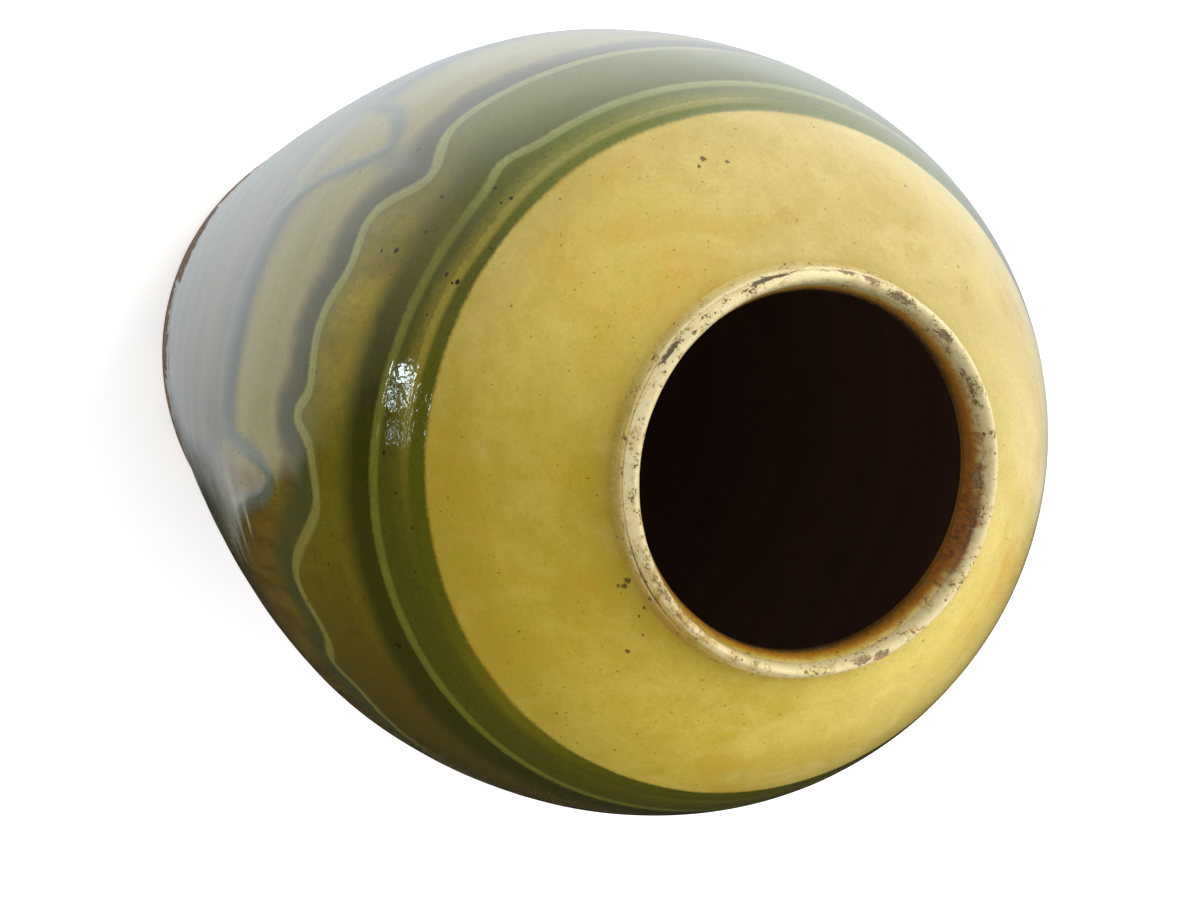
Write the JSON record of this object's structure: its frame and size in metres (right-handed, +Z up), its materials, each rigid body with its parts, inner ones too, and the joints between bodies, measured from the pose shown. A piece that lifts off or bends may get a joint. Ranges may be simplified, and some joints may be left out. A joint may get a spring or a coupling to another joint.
{
  "type": "glazed terracotta vase",
  "caption": "Round-shouldered terracotta jar with a short rolled neck and flat foot, yellow glaze above and green glaze below, for standing on a flat surface.",
  "frame": {"origin": "middle of the underside of the foot, in the plane that the foot ring stands on", "axes": "+Z up along the pot's turning axis, from foot to mouth; the side in the picture faces -Y"},
  "size_m": [0.2164, 0.2164, 0.3435],
  "materials": {
    "bare_clay": "unglazed fired terracotta, matt and slightly gritty",
    "streaked_glaze": "glossy transparent green and ochre glaze with grey-green runs",
    "shoulder_glaze": "glossy yellow glaze over the shoulder, olive green below its edge",
    "lip_glaze": "glossy cream to yellow glaze, chipped and pinholed",
    "pale_slip": "pale green raised line under glaze"
  },
  "bodies": {
    "root": {"base_disc": "bare_clay", "lower_wall": "streaked_glaze", "upper_wall": "shoulder_glaze", "neck_collar": "lip_glaze", "lip_roll": "lip_glaze", "slip_line_upper": "pale_slip", "slip_line_middle": "pale_slip", "slip_line_wavy": "pale_slip"}
  },
  "joints": []
}
